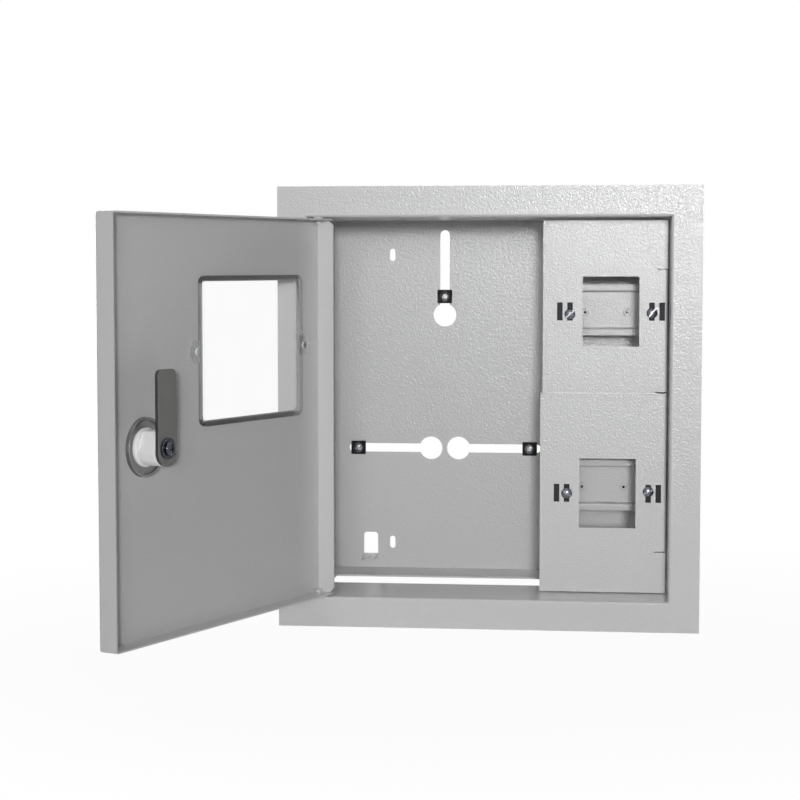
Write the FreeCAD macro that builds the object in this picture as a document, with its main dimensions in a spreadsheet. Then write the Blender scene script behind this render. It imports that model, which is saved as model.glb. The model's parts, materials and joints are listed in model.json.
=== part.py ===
"""Flush-mounted electric meter box with its door standing open.

Frame, in millimetres: X to the right, Y into the wall, Z up.  The origin is the centre of the face
frame, on the plane of its rear side, which is the wall surface once the box is built in.
"""
import os
import re

import FreeCAD
import Part
import Sketcher

SIZES = {
    # face frame and box
    "frame_width": 276.0,
    "frame_height": 290.0,
    "flange": 20.0,
    "steel": 1.2,
    "bend": 0.4,
    "body_depth": 130.0,
    # cable slot in the floor, as wide as the walls leave it
    "cable_margin": 6.0,
    "cable_front": 57.0,
    "cable_rear": 91.5,
    # wall fixing slots, from the side walls, the roof and the floor
    "fixing_in": 42.0,
    "fixing_down": 24.0,
    "fixing_up": 18.5,
    "fixing_radius": 1.95,
    "fixing_reach": 2.5,
    # keyholes for the meter, from the left wall, the roof and the floor
    "meter_in": 79.7,
    "key_radius": 8.2,
    "hook_half": 3.4,
    "hook_down": 9.8,
    "hook_long": 57.2,
    "foot_half": 3.1,
    "foot_up": 87.2,
    "foot_key": 9.9,
    "foot_end": 66.0,
    # lanced earth tab, bent out askew
    "tab_in": 26.2,
    "tab_half": 5.1,
    "tab_up": 10.1,
    "tab_rise": 15.5,
    "tab_corner": 2.4,
    "tab_reach": 12.5,
    "tab_drop": 2.0,
    "tab_twist": 0.9,
    "tab_lean": 0.6,
    "tab_hole": 2.2,
    "tab_hole_in": 6.9,
    # hinge
    "hinge_gap": 2.0,
    "free_gap": 1.2,
    "door_gap": 1.2,
    "door_setback": 0.5,
    "pivot_edge": 4.5,
    "pivot_depth": 3.5,
    "pin_radius": 1.9,
    "pin_fit": 0.08,
    "pin_tail": 2.0,
    "collar_radius": 3.0,
    "hinge_play": 0.2,
    # door
    "door_open": 113.6,
    "door_steel": 1.0,
    "door_flange": 12.6,
    "door_bend": 0.7,
    "door_notch": 5.0,
    # window, from the hinge axis and from the top of the door
    "window_u": 75.8,
    "window_down": 81.8,
    "window_half": 52.8,
    "window_half_high": 42.0,
    "window_corner": 3.5,
    "pane_lap": 3.4,
    "pane_thick": 1.4,
    "rim_high": 1.2,
    "ear_out": 3.0,
    "ear_radius": 7.0,
    "ear_rivet": 1.3,
    "ear_rivet_lip": 1.1,
    "ear_rivet_high": 0.9,
    "rivet_fit": 0.1,
    # lock, from the free edge of the door
    "lock_in": 42.1,
    "lock_z": -11.1,
    "dish_radius": 17.4,
    "dish_fit": 0.1,
    "dish_rim": 19.4,
    "dish_rim_thick": 1.2,
    "dish_floor": 1.4,
    "dish_wall": 1.6,
    "dish_tall": 2.2,
    "dish_bore_play": 0.6,
    "dish_well": 3.5,
    "dish_well_floor": 0.2,
    "sleeve_radius": 10.4,
    "sleeve_end": 15.5,
    "sleeve_collar": 1.0,
    "sleeve_collar_thick": 1.5,
    "sleeve_chamfer": 0.8,
    "sleeve_flat": 8.1,
    "sleeve_turn": 27.0,
    "plug_radius": 6.0,
    "plug_fit": 0.08,
    "plug_head": 8.0,
    "plug_head_thick": 1.0,
    "plug_head_play": 0.1,
    "stud_side": 4.4,
    "stud_tall": 3.0,
    "drive_half": 3.8,
    "cam_play": 0.2,
    "cam_thick": 2.2,
    "cam_half": 8.8,
    "cam_tail": 10.3,
    "cam_tail_round": 8.5,
    "cam_reach": 45.5,
    "cam_tip": 4.0,
    "washer_radius": 6.3,
    "washer_thick": 1.0,
    "cam_screw_head": 4.2,
    "cam_screw_high": 2.6,
    "cam_screw_radius": 2.0,
    "cam_screw_long": 9.0,
    "catch_clear": 1.6,
    "catch_up": 21.5,
    # device bays behind the covers, from the right wall, the roof and the floor
    "upper_bay_in": 38.3,
    "lower_bay_in": 39.8,
    "upper_bay_down": 62.0,
    "lower_bay_up": 67.0,
    "bay_half": 21.5,
    "bracket_steel": 1.5,
    "bracket_half_high": 10.0,
    "lug_lap": 0.35,
    "rail_front": 80.5,
    "rail_half": 17.5,
    "rail_channel": 12.5,
    "rail_deep": 7.5,
    "rail_steel": 1.0,
    "rail_end_gap": 0.3,
    "rail_tab": 14.0,
    "rail_tab_half": 6.0,
    "rivet_left": -17.6,
    "rivet_right": 11.2,
    "rivet_z": -1.8,
    "rivet_radius": 1.6,
    "rivet_head": 2.6,
    "rivet_head_high": 0.9,
    "rivet_core": 0.8,
    # covers, from the right wall, the roof and the floor
    "cover_steel": 1.0,
    "cover_bend": 0.4,
    "cover_front": 31.8,
    "cover_lap": 0.2,
    "cover_gap": 1.0,
    "cover_return": 12.0,
    "upper_cover_wide": 82.2,
    "lower_cover_wide": 83.6,
    "upper_cover_gap": 1.6,
    "lower_cover_gap": 0.6,
    "upper_cover_bottom": 3.0,
    "lower_cover_top": 8.9,
    "upper_slit_down": 34.0,
    "lower_slit_up": 28.0,
    "slit_half": 0.3,
    "slit_long": 7.5,
    "cutout_half": 18.7,
    "cutout_half_high": 23.2,
    "seal_x": 33.7,
    "screw_x": 27.0,
    "seal_half": 1.85,
    "seal_half_high": 6.0,
    "upper_left_drop": -1.7,
    "upper_right_drop": -1.0,
    "lower_left_drop": -0.2,
    "lower_right_drop": 1.3,
    "cover_screw_radius": 1.6,
    "cover_screw_head": 3.6,
    "cover_screw_high": 2.4,
    "cover_screw_long": 7.0,
    "slot_turn": 42.0,
    "thread_fit": 0.05,
    # sliding meter fixings
    "slide_play": 0.15,
    "plate_half": 5.2,
    "plate_half_high": 4.8,
    "plate_thick": 2.0,
    "plate_corner": 0.7,
    "slide_screw_radius": 2.0,
    "slide_screw_head": 3.6,
    "slide_screw_high": 2.2,
    "slide_screw_tail": 1.0,
    "nut_half": 4.2,
    "nut_thick": 3.2,
    "top_slider_up": 13.3,
    "left_slider_out": 62.4,
    "right_slider_out": 61.2,
    # recesses in the screw heads
    "recess_half": 0.55,
    "recess_arm": 2.3,
    "recess_deep": 1.3,
    # how far outside a piece its cuts begin
    "spare": 1.0,
}

HALF_OPEN = "(frame_width / 2 - flange)"
HALF_HIGH = "(frame_height / 2 - flange)"
BACK_INSIDE = "(body_depth - 2 * steel)"
BACK_OUTSIDE = "(body_depth - steel)"
PIVOT_X = "(hinge_gap + pivot_edge - " + HALF_OPEN + ")"
PIVOT_Y = "(door_setback + pivot_depth - steel)"
DOOR_END = "(2 * " + HALF_OPEN + " - hinge_gap - free_gap - pivot_edge)"
DOOR_HALF = "(" + HALF_HIGH + " - door_gap)"
SKIN_INSIDE = "(door_steel - pivot_depth)"
CAM_NEAR = "(sleeve_end + cam_play)"
CAM_FAR = "(" + CAM_NEAR + " + cam_thick)"
LOCK_U = "(" + DOOR_END + " - lock_in)"
WINDOW_Z = "(" + DOOR_HALF + " - window_down)"
EAR_U = "(window_half + pane_lap + ear_out)"
CABLE_HALF = "(" + HALF_OPEN + " - cable_margin)"
FIXING_X = "(" + HALF_OPEN + " - fixing_in)"
FIXING_HIGH = "(" + HALF_HIGH + " - fixing_down)"
FIXING_LOW = "(fixing_up - " + HALF_HIGH + ")"
METER_X = "(meter_in - " + HALF_OPEN + ")"
HOOK_TOP = "(" + HALF_HIGH + " - hook_down)"
HOOK_KEY = "(" + HOOK_TOP + " - hook_long)"
FOOT_Z = "(foot_up - " + HALF_HIGH + ")"
TAB_X = "(tab_in - " + HALF_OPEN + ")"
TAB_FOOT = "(tab_up - " + HALF_HIGH + ")"
COVER_RIGHT = "(" + HALF_OPEN + " - cover_gap)"
BAY_X = {bay: "(%s - %s_bay_in)" % (HALF_OPEN, bay) for bay in ("upper", "lower")}
BAY_Z = {"upper": "(" + HALF_HIGH + " - upper_bay_down)", "lower": "(lower_bay_up - " + HALF_HIGH + ")"}
SLIT = {"upper": "(" + HALF_HIGH + " - upper_slit_down)", "lower": "(lower_slit_up - " + HALF_HIGH + ")"}
COVER_LOW = {"upper": "upper_cover_bottom", "lower": "(lower_cover_gap - " + HALF_HIGH + ")"}
COVER_HIGH = {"upper": "(" + HALF_HIGH + " - upper_cover_gap)", "lower": "lower_cover_top"}

INNER = SIZES["frame_width"] / 2 - SIZES["flange"]
LEVEL = SIZES["frame_height"] / 2 - SIZES["flange"]

doc = FreeCAD.newDocument("meter_box")
sheet = doc.addObject("Spreadsheet::Sheet", "Sizes")
nodes = {}


def ex(formula):
    """The formula with each size name turned into a reference to the sheet."""
    def refer(word):
        return "Sizes." + word.group() if word.group() in SIZES else word.group()
    return re.sub(r"[A-Za-z_]\w*", refer, str(formula))


def bind(thing, formulas):
    """Tie properties of a document object to formulas."""
    for path, formula in formulas.items():
        thing.setExpression(path, ex(formula))


def new_body(label):
    """A body that becomes the node of that name."""
    body = doc.addObject("PartDesign::Body", label)
    body.Label = label
    nodes[label] = body
    return body


def sketch_on(body, role, shift="0"):
    """A sketch on one of the body's own planes, moved along the plane's normal."""
    sketch = body.newObject("Sketcher::SketchObject", body.Name + "_sketch")
    plane = next(item for item in body.Origin.OriginFeatures if item.Role == role)
    sketch.AttachmentSupport = (plane, "")
    sketch.MapMode = "FlatFace"
    bind(sketch, {"AttachmentOffset.Base.z": shift})
    return sketch


def fix(sketch, kind, geometry, point, start, formula):
    """Hold one coordinate of a point, measured from the sketch origin."""
    index = sketch.addConstraint(Sketcher.Constraint(kind, -1, 1, geometry, point, start))
    bind(sketch, {"Constraints[%d]" % index: formula})


def outline(sketch, corners):
    """A closed outline through corners given as pairs of formulas."""
    count = len(corners)
    first = sketch.GeometryCount
    turn = FreeCAD.Rotation(FreeCAD.Vector(0, 0, 1), 360.0 / count)
    start = [FreeCAD.Vector(20, 3, 0)]
    while len(start) < count:
        start.append(turn.multVec(start[-1]))
    for i in range(count):
        sketch.addGeometry(Part.LineSegment(start[i], start[(i + 1) % count]), False)
    for i in range(count):
        follower = first + (i + 1) % count
        sketch.addConstraint(Sketcher.Constraint("Coincident", first + i, 2, follower, 1))
    for i, (across, up) in enumerate(corners):
        fix(sketch, "DistanceX", first + i, 1, start[i].x, across)
        fix(sketch, "DistanceY", first + i, 1, start[i].y, up)


def box(sketch, left, right, low, high):
    """A rectangle between four formulas."""
    outline(sketch, [(left, low), (right, low), (right, high), (left, high)])


def circle(sketch, across, up, radius):
    """A circle about a point."""
    centre = FreeCAD.Vector(3, 2, 0)
    shape = Part.Circle(centre, FreeCAD.Vector(0, 0, 1), 1.0)
    index = sketch.addGeometry(shape, False)
    fix(sketch, "DistanceX", index, 3, centre.x, across)
    fix(sketch, "DistanceY", index, 3, centre.y, up)
    size = sketch.addConstraint(Sketcher.Constraint("Radius", index, 1.0))
    bind(sketch, {"Constraints[%d]" % size: radius})


def pad(body, sketch, length):
    """Material from the sketch along its normal."""
    feature = body.newObject("PartDesign::Pad", body.Name + "_pad")
    feature.Profile = sketch
    bind(feature, {"Length": length})
    doc.recompute()
    return feature


def pocket(body, sketch, length=None, reverse=False):
    """A cut against the sketch's normal, or along it when reversed; right through without a length."""
    before = body.Shape.Volume
    feature = body.newObject("PartDesign::Pocket", body.Name + "_pocket")
    feature.Profile = sketch
    feature.Reversed = reverse
    if length is None:
        feature.Type = "ThroughAll"
    else:
        bind(feature, {"Length": length})
    doc.recompute()
    if body.Shape.Volume > before - 1e-3:
        raise RuntimeError(body.Label + ": a cut removed nothing")
    return feature


def round_edges(body, radius, wanted):
    """Round the edges whose middle point and direction the test accepts."""
    names = []
    for number, edge in enumerate(body.Shape.Edges, start=1):
        ends = [vertex.Point for vertex in edge.Vertexes]
        if len(ends) == 2 and wanted((ends[0] + ends[1]) / 2, ends[1] - ends[0]):
            names.append("Edge%d" % number)
    if not names:
        raise RuntimeError(body.Label + ": no edge to round")
    base = body.Tip
    feature = body.newObject("PartDesign::Fillet", body.Name + "_round")
    feature.Base = (base, names)
    bind(feature, {"Radius": radius})
    doc.recompute()
    return feature


def same(a, b):
    return abs(a - b) < 1e-4


def along(direction, axis):
    """Whether an edge runs along one axis."""
    sideways = [abs(direction[i]) for i in range(3) if i != axis]
    return max(sideways) < 1e-4


def turned(body, role, corners):
    """A turned piece: the outline gives radius and height along the sketch's upright axis."""
    sketch = sketch_on(body, role)
    outline(sketch, corners)
    feature = body.newObject("PartDesign::Revolution", body.Name + "_turn")
    feature.Profile = sketch
    feature.ReferenceAxis = (sketch, ["V_Axis"])
    feature.Angle = 360.0
    doc.recompute()
    return body


def place(body, x, y, z):
    """Put a finished piece where it belongs in the box."""
    bind(body, {"Placement.Base.x": x, "Placement.Base.y": y, "Placement.Base.z": z})


def hang(body, out="0", inward="0", up="0"):
    """Put a piece on the open door: out from the hinge axis, inward from the axis plane, up."""
    angle = "door_open * 1 deg"
    body.Placement.Rotation = FreeCAD.Rotation(FreeCAD.Vector(0, 0, -1), SIZES["door_open"])
    bind(body, {"Placement.Rotation.Angle": "door_open"})
    x = "%s + (%s) * cos(%s) + (%s) * sin(%s)" % (PIVOT_X, out, angle, inward, angle)
    y = "%s - (%s) * sin(%s) + (%s) * cos(%s)" % (PIVOT_Y, out, angle, inward, angle)
    place(body, x, y, up)


def cross_recess(body, start, length=None):
    """A cross cut into a screw head, from a depth along Y towards +Y."""
    sketch = sketch_on(body, "XZ_Plane", "-(%s)" % start)
    arm, half = "recess_arm", "recess_half"
    outline(sketch, [
        (half, half), (half, arm), ("-" + half, arm), ("-" + half, half), ("-" + arm, half),
        ("-" + arm, "-" + half), ("-" + half, "-" + half), ("-" + half, "-" + arm),
        (half, "-" + arm), (half, "-" + half), (arm, "-" + half), (arm, half)])
    pocket(body, sketch, length)


def group(label, members):
    """One node of several equal fasteners."""
    for member in members:
        del nodes[member.Label]
    compound = doc.addObject("Part::Compound", label)
    compound.Label = label
    compound.Links = members
    nodes[label] = compound


def build_shell():
    """Left wall, back and right wall with the side bands of the face frame, one folded sheet."""
    body = new_body("wrap_shell")
    sketch = sketch_on(body, "XY_Plane", "-" + HALF_HIGH)
    wall, skin = HALF_OPEN, "(" + HALF_OPEN + " + steel)"
    half = "(frame_width / 2)"
    outline(sketch, [
        ("-" + half, "-steel"), ("-" + wall, "-steel"), ("-" + wall, BACK_INSIDE), (wall, BACK_INSIDE),
        (wall, "-steel"), (half, "-steel"), (half, "0"), (skin, "0"), (skin, BACK_OUTSIDE),
        ("-" + skin, BACK_OUTSIDE), ("-" + skin, "0"), ("-" + half, "0")])
    pad(body, sketch, "2 * " + HALF_HIGH)
    steel = SIZES["steel"]
    rear = SIZES["body_depth"] - steel

    def outer_bend(middle, run):
        front = same(abs(middle.x), INNER) and same(middle.y, -steel)
        back = same(abs(middle.x), INNER + steel) and same(middle.y, rear)
        return along(run, 2) and (front or back)

    def inner_bend(middle, run):
        front = same(abs(middle.x), INNER + steel) and same(middle.y, 0)
        back = same(abs(middle.x), INNER) and same(middle.y, rear - steel)
        return along(run, 2) and (front or back)

    round_edges(body, "bend + steel", outer_bend)
    round_edges(body, "bend", inner_bend)

    straight = sketch_on(body, "XZ_Plane")
    box(straight, METER_X + " - hook_half", METER_X + " + hook_half", HOOK_KEY, HOOK_TOP)
    ends = sketch_on(body, "XZ_Plane")
    circle(ends, METER_X, HOOK_TOP, "hook_half")
    circle(ends, METER_X, HOOK_KEY, "key_radius")
    for side in ("-", "+"):
        near, far = "%s %s foot_key" % (METER_X, side), "%s %s foot_end" % (METER_X, side)
        box(straight, near, far, FOOT_Z + " - foot_half", FOOT_Z + " + foot_half")
        circle(ends, far, FOOT_Z, "foot_half")
        circle(ends, near, FOOT_Z, "key_radius")
        for level in (FIXING_HIGH, FIXING_LOW):
            middle = side + FIXING_X
            low, high = level + " - fixing_reach", level + " + fixing_reach"
            box(straight, middle + " - fixing_radius", middle + " + fixing_radius", low, high)
            circle(ends, middle, low, "fixing_radius")
            circle(ends, middle, high, "fixing_radius")
    box(straight, TAB_X + " - tab_half", TAB_X + " + tab_half", TAB_FOOT, TAB_FOOT + " + tab_rise")
    pocket(body, straight)
    pocket(body, ends)
    hole_top = SIZES["tab_up"] + SIZES["tab_rise"] - LEVEL
    tab_middle = SIZES["tab_in"] - INNER

    def hole_corner(middle, run):
        beside = same(abs(middle.x - tab_middle), SIZES["tab_half"])
        return along(run, 1) and beside and same(middle.z, hole_top)

    round_edges(body, "tab_corner", hole_corner)

    catch = sketch_on(body, "YZ_Plane")
    near = "%s - pivot_depth + %s - catch_clear" % (PIVOT_Y, CAM_NEAR)
    far = "%s - pivot_depth + %s + catch_clear" % (PIVOT_Y, CAM_FAR)
    box(catch, near, far, "lock_z - cam_half - catch_clear", "lock_z + catch_up")
    pocket(body, catch, reverse=True)

    left, right = TAB_X + " - tab_half", TAB_X + " + tab_half"
    root = sketch_on(body, "XZ_Plane", "-" + BACK_INSIDE)
    box(root, left, right, TAB_FOOT + " - steel", TAB_FOOT)
    tip = sketch_on(body, "XZ_Plane", "tab_reach - " + BACK_INSIDE)
    low, high = TAB_FOOT + " - tab_drop - tab_twist", TAB_FOOT + " - tab_drop + tab_twist"
    outline(tip, [(left + " - tab_lean", low + " - steel"), (right + " - tab_lean", high + " - steel"),
                  (right + " - tab_lean", high), (left + " - tab_lean", low)])
    tab = body.newObject("PartDesign::AdditiveLoft", "earth_tab")
    tab.Profile = root
    tab.Sections = [tip]
    tab.Ruled = True
    doc.recompute()
    tab_end = SIZES["body_depth"] - 2 * steel - SIZES["tab_reach"]
    round_edges(body, "tab_corner", lambda middle, run: along(run, 2) and same(middle.y, tab_end))
    hole = sketch_on(body, "XY_Plane")
    circle(hole, TAB_X + " - tab_lean / 2", BACK_INSIDE + " - tab_hole_in", "tab_hole")
    pocket(body, hole)


def build_tray(label, sign):
    """Roof or floor with its full-width band of the face frame."""
    body = new_body(label)
    skin = "(" + HALF_OPEN + " + steel)"
    edge, face, rim = sign + HALF_HIGH, sign + "(" + HALF_HIGH + " + steel)", sign + "(frame_height / 2)"
    profile = sketch_on(body, "YZ_Plane", "-" + skin)
    outline(profile, [("-steel", edge), (BACK_OUTSIDE, edge), (BACK_OUTSIDE, face), ("0", face),
                      ("0", rim), ("-steel", rim)])
    pad(body, profile, "2 * " + skin)
    steel = SIZES["steel"]

    def outer_bend(middle, run):
        return along(run, 0) and same(middle.y, -steel) and same(abs(middle.z), LEVEL)

    def inner_bend(middle, run):
        return along(run, 0) and same(middle.y, 0) and same(abs(middle.z), LEVEL + steel)

    round_edges(body, "bend + steel", outer_bend)
    round_edges(body, "bend", inner_bend)
    ears = sketch_on(body, "XZ_Plane")
    low, high = (edge, rim) if sign == "+" else (rim, edge)
    box(ears, skin, "frame_width / 2", low, high)
    box(ears, "-frame_width / 2", "-" + skin, low, high)
    pad(body, ears, "steel")
    pin = sketch_on(body, "XY_Plane")
    circle(pin, PIVOT_X, PIVOT_Y, "pin_radius + rivet_fit")
    pocket(body, pin, reverse=sign == "+")
    if sign == "-":
        cables = sketch_on(body, "XY_Plane")
        box(cables, "-" + CABLE_HALF, CABLE_HALF, "cable_front", "cable_rear")
        pocket(body, cables)


def build_hinge_pin(label, sign):
    """A shouldered pin set flush into roof or floor; the shoulder carries the door."""
    collar = "-(door_gap - hinge_play)"
    tail = "-(door_gap + door_steel + pin_tail)"
    shape = [("0", tail), ("pin_radius", tail), ("pin_radius", collar), ("collar_radius", collar),
             ("collar_radius", "0"), ("pin_radius", "0"), ("pin_radius", "steel"), ("0", "steel")]
    body = new_body(label)
    turned(body, "XZ_Plane", [(radius, "%s(%s)" % (sign, height)) for radius, height in shape])
    place(body, PIVOT_X, PIVOT_Y, sign + HALF_HIGH)


def cover_face(bay):
    """Depth of a cover's outer face: the lower one laps over the upper one."""
    return "cover_front" if bay == "lower" else "(cover_front + cover_steel + cover_lap)"


def screw_level(bay, side):
    """Height of a cover screw, which can sit anywhere in its slot."""
    return "%s + %s_%s_drop" % (BAY_Z[bay], bay, "left" if side == "-" else "right")


def build_bracket(bay):
    """Folded bracket on the back wall: lugs for the cover screws, lanced tabs for the rail."""
    body = new_body(bay + "_bracket")
    middle, level = BAY_X[bay], BAY_Z[bay]
    front = cover_face(bay) + " + cover_steel"
    inside, outside = "bay_half", "(bay_half + bracket_steel)"
    web, lug = "(" + BACK_INSIDE + " - bracket_steel)", "(" + front + " + bracket_steel)"
    lug_end = "(seal_x + seal_half + lug_lap)"
    half = [(lug_end, front), (inside, front), (inside, web)]
    behind = [(outside, BACK_INSIDE), (outside, lug), (lug_end, lug)]
    left = [("%s - %s" % (middle, across), depth) for across, depth in half]
    right = [("%s + %s" % (middle, across), depth) for across, depth in reversed(half)]
    right += [("%s + %s" % (middle, across), depth) for across, depth in reversed(behind)]
    left_back = [("%s - %s" % (middle, across), depth) for across, depth in behind]
    strip = sketch_on(body, "XY_Plane", level + " - bracket_half_high")
    outline(strip, left + right + left_back)
    pad(body, strip, "2 * bracket_half_high")
    seat = "rail_front + rail_deep"
    tabs = sketch_on(body, "XY_Plane", level + " - rail_tab_half")
    behind_seat = seat + " + bracket_steel"
    box(tabs, middle + " - bay_half", middle + " - bay_half + rail_tab", seat, behind_seat)
    box(tabs, middle + " + bay_half - rail_tab", middle + " + bay_half", seat, behind_seat)
    pad(body, tabs, "2 * rail_tab_half")
    windows = sketch_on(body, "YZ_Plane")
    box(windows, behind_seat, behind_seat + " + rail_tab",
        level + " - rail_tab_half", level + " + rail_tab_half")
    pocket(body, windows, reverse=True)
    holes = sketch_on(body, "XZ_Plane")
    for side in ("-", "+"):
        across = "%s %s screw_x" % (middle, side)
        circle(holes, across, screw_level(bay, side), "cover_screw_radius + thread_fit")
    for across in ("rivet_left", "rivet_right"):
        circle(holes, "%s + %s" % (middle, across), level + " + rivet_z", "rivet_radius + rivet_fit")
    pocket(body, holes, behind_seat + " + rail_channel / 2")


def build_rail(bay):
    """Top-hat rail between the legs of the bracket."""
    body = new_body(bay + "_din_rail")
    middle, level = BAY_X[bay], BAY_Z[bay]
    length = "(bay_half - rail_end_gap)"
    lip, floor = "rail_front + rail_steel", "rail_front + rail_deep - rail_steel"
    upper = [("rail_front", "rail_half"), ("rail_front", "rail_channel"), (floor, "rail_channel")]
    outer = "(rail_channel + rail_steel)"
    behind = [("rail_front + rail_deep", outer), (lip, outer), (lip, "rail_half")]
    points = [(depth, "%s + %s" % (level, up)) for depth, up in upper]
    points += [(depth, "%s - %s" % (level, up)) for depth, up in reversed(upper)]
    points += [(depth, "%s - %s" % (level, up)) for depth, up in reversed(behind)]
    points += [(depth, "%s + %s" % (level, up)) for depth, up in behind]
    hat = sketch_on(body, "YZ_Plane", "%s - %s" % (middle, length))
    outline(hat, points)
    pad(body, hat, "2 * " + length)
    holes = sketch_on(body, "XZ_Plane")
    for across in ("rivet_left", "rivet_right"):
        circle(holes, "%s + %s" % (middle, across), level + " + rivet_z", "rivet_radius + rivet_fit")
    pocket(body, holes)


def build_rail_rivets():
    """Hollow rivets through rail and bracket tab."""
    members = []
    grip = "(rail_steel + bracket_steel)"
    for bay in ("upper", "lower"):
        for across in ("rivet_left", "rivet_right"):
            body = new_body("%s_%s" % (bay, across))
            turned(body, "XY_Plane", [
                ("rivet_core", "-rivet_head_high"),
                ("rivet_head - rivet_head_high / 2", "-rivet_head_high"),
                ("rivet_head", "-rivet_head_high / 3"), ("rivet_head", "0"), ("rivet_radius", "0"),
                ("rivet_radius", grip), ("rivet_head", grip), ("rivet_head", grip + " + rivet_head_high"),
                ("0", grip + " + rivet_head_high"), ("0", grip), ("rivet_core", grip)])
            place(body, "%s + %s" % (BAY_X[bay], across), "rail_front + rail_deep - rail_steel",
                  BAY_Z[bay] + " + rivet_z")
            members.append(body)
    group("rail_rivets", members)


def build_cover(bay):
    """Cover plate folded back along the right wall between its bend slits."""
    body = new_body(bay + "_cover")
    middle, level = BAY_X[bay], BAY_Z[bay]
    face = cover_face(bay)
    low, high = COVER_LOW[bay], COVER_HIGH[bay]
    slit = SLIT[bay]
    plate = sketch_on(body, "XZ_Plane", "-(%s + cover_steel)" % face)
    box(plate, "%s - %s_cover_wide" % (COVER_RIGHT, bay), COVER_RIGHT, low, high)
    pad(body, plate, "cover_steel")
    fold = sketch_on(body, "XZ_Plane", "-(%s + cover_return)" % face)
    if bay == "upper":
        lap = "lower_cover_top + 2 * slit_half"
        box(fold, COVER_RIGHT + " - cover_steel", COVER_RIGHT, lap, slit)
        cuts = [(slit + " - slit_half", slit + " + slit_half"), (low + " - spare", lap + " + slit_half")]
    else:
        box(fold, COVER_RIGHT + " - cover_steel", COVER_RIGHT, slit, high)
        cuts = [(slit + " - slit_half", slit + " + slit_half")]
    pad(body, fold, "cover_return")
    reliefs = sketch_on(body, "XZ_Plane")
    for start, end in cuts:
        box(reliefs, COVER_RIGHT + " - slit_long", COVER_RIGHT + " + spare", start, end)
    pocket(body, reliefs)
    right = INNER - SIZES["cover_gap"]
    front = SIZES["cover_front"]
    if bay == "upper":
        front += SIZES["cover_steel"] + SIZES["cover_lap"]

    def folded(edge_middle, run):
        if bay == "upper":
            inside = edge_middle.z < LEVEL - SIZES["upper_slit_down"]
        else:
            inside = edge_middle.z > SIZES["lower_slit_up"] - LEVEL
        long_enough = abs(run.z) > SIZES["cover_return"]
        at_corner = same(edge_middle.x, right) and same(edge_middle.y, front)
        return along(run, 2) and at_corner and inside and long_enough

    round_edges(body, "cover_bend + cover_steel", folded)
    holes = sketch_on(body, "XZ_Plane")
    box(holes, middle + " - cutout_half", middle + " + cutout_half",
        level + " - cutout_half_high", level + " + cutout_half_high")
    for offset in ("- seal_x", "- screw_x", "+ screw_x", "+ seal_x"):
        across = "%s %s" % (middle, offset)
        box(holes, across + " - seal_half", across + " + seal_half",
            level + " - seal_half_high", level + " + seal_half_high")
    pocket(body, holes)


def build_cover_screws():
    """Slotted screws through the inner slots of the covers."""
    members = []
    for bay in ("upper", "lower"):
        for side, word in (("-", "left"), ("+", "right")):
            body = new_body("%s_%s_screw" % (bay, word))
            crown = "-cover_screw_high"
            turned(body, "XY_Plane", [
                ("0", crown), ("cover_screw_head - cover_screw_high / 3", crown),
                ("cover_screw_head", "-cover_screw_high / 2"), ("cover_screw_head", "0"),
                ("cover_screw_radius", "0"), ("cover_screw_radius", "cover_screw_long"),
                ("0", "cover_screw_long")])
            cut = sketch_on(body, "XZ_Plane", "cover_screw_high")
            box(cut, "-cover_screw_head - spare", "cover_screw_head + spare", "-recess_half", "recess_half")
            pocket(body, cut, "recess_deep")
            body.Placement.Rotation = FreeCAD.Rotation(FreeCAD.Vector(0, -1, 0), SIZES["slot_turn"])
            bind(body, {"Placement.Rotation.Angle": "slot_turn"})
            place(body, "%s %s screw_x" % (BAY_X[bay], side), cover_face(bay), screw_level(bay, side))
            members.append(body)
    group("cover_screws", members)


def build_slider(name, x, z):
    """Square plate, screw and square nut that slide along a keyhole slot."""
    plate = new_body(name + "_slider_plate")
    sketch = sketch_on(plate, "XZ_Plane")
    box(sketch, "-plate_half", "plate_half", "-plate_half_high", "plate_half_high")
    circle(sketch, "0", "0", "slide_screw_radius + thread_fit")
    pad(plate, sketch, "plate_thick")
    round_edges(plate, "plate_corner", lambda middle, run: along(run, 1))
    place(plate, x, BACK_INSIDE + " - slide_play", z)
    screw = new_body(name + "_slider_screw")
    seat, crown = "-plate_thick", "-(plate_thick + slide_screw_high)"
    tail = "2 * slide_play + steel + nut_thick + slide_screw_tail"
    turned(screw, "XY_Plane", [
        ("0", crown), ("slide_screw_head - slide_screw_high / 3", crown),
        ("slide_screw_head", "-(plate_thick + slide_screw_high / 2)"), ("slide_screw_head", seat),
        ("slide_screw_radius", seat), ("slide_screw_radius", tail), ("0", tail)])
    cross_recess(screw, crown, "recess_deep")
    place(screw, x, BACK_INSIDE + " - slide_play", z)
    nut = new_body(name + "_slider_nut")
    sketch = sketch_on(nut, "XZ_Plane", "-nut_thick")
    box(sketch, "-nut_half", "nut_half", "-nut_half", "nut_half")
    circle(sketch, "0", "0", "slide_screw_radius + thread_fit")
    pad(nut, sketch, "nut_thick")
    place(nut, x, BACK_OUTSIDE + " + slide_play", z)


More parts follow.
